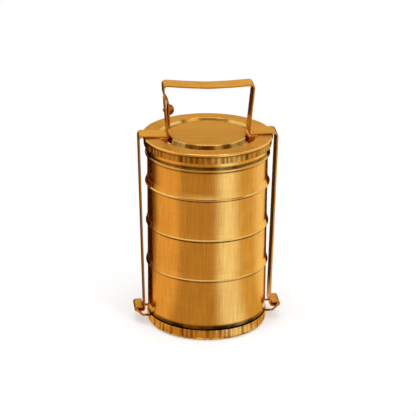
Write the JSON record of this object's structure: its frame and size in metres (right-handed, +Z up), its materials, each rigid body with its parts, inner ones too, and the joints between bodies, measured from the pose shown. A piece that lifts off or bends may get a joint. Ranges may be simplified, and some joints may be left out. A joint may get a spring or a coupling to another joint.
{
  "type": "tiffin box",
  "caption": "Stacked brass lunch carrier: round bowls on a fluted tray under a lid, held shut by two hinged side straps that meet in a carrying handle with a turn button.",
  "frame": {"origin": "centre of the tray's underside, on the surface the carrier stands on", "axes": "+Z up along the stack, X through the two strap hinges with the handle's strap at +X, Y along the hinge pins"},
  "size_m": [0.1616, 0.14, 0.2721],
  "materials": {
    "brass_satin": "satin, turned on a lathe",
    "brass_bright": "polished",
    "brass_brushed": "brushed",
    "brass_strap": "worn satin, coppery",
    "brass_wire": "drawn wire"
  },
  "bodies": {
    "tray": {"tray": "brass_bright", "left_hinge_wire": "brass_wire", "right_hinge_wire": "brass_wire"},
    "deep_bowl": {"deep_bowl": "brass_satin"},
    "lower_bowl": {"lower_bowl": "brass_satin", "lower_skirt": "brass_bright"},
    "upper_bowl": {"upper_bowl": "brass_satin", "upper_skirt": "brass_bright"},
    "top_bowl": {"top_bowl": "brass_satin", "top_skirt": "brass_bright"},
    "lid": {"lid_top": "brass_brushed", "lid_hem": "brass_bright", "lid_collar": "brass_bright"},
    "left_strap": {"left_strap": "brass_strap"},
    "right_strap": {"right_strap": "brass_strap"},
    "turn_button": {"turn_button": "brass_strap", "button_washer": "brass_wire"}
  },
  "joints": [
    {"name": "deep_bowl_turn", "type": "hinge", "parent": "tray", "child": "deep_bowl", "pos_m": [0, 0, 0.0142], "axis": [0, 0, 1], "continuous": true},
    {"name": "lower_bowl_turn", "type": "hinge", "parent": "deep_bowl", "child": "lower_bowl", "pos_m": [0, 0, 0.07605], "axis": [0, 0, 1], "continuous": true},
    {"name": "upper_bowl_turn", "type": "hinge", "parent": "lower_bowl", "child": "upper_bowl", "pos_m": [0, 0, 0.12175], "axis": [0, 0, 1], "continuous": true},
    {"name": "top_bowl_turn", "type": "hinge", "parent": "upper_bowl", "child": "top_bowl", "pos_m": [0, 0, 0.16745], "axis": [0, 0, 1], "continuous": true},
    {"name": "lid_turn", "type": "hinge", "parent": "top_bowl", "child": "lid", "pos_m": [0, 0, 0.21315], "axis": [0, 0, 1], "continuous": true},
    {"name": "left_strap_swing", "type": "hinge", "parent": "tray", "child": "left_strap", "pos_m": [-0.0778, 0, 0.0166], "axis": [0, -1, 0], "range_deg": [0, 90]},
    {"name": "right_strap_swing", "type": "hinge", "parent": "tray", "child": "right_strap", "pos_m": [0.0778, 0, 0.0166], "axis": [0, 1, 0], "range_deg": [0, 90]},
    {"name": "button_turn", "type": "hinge", "parent": "left_strap", "child": "turn_button", "pos_m": [-0.04543, 0, 0.2418], "axis": [0.9969, 0, 0.0783], "range_deg": [0, 90]}
  ]
}
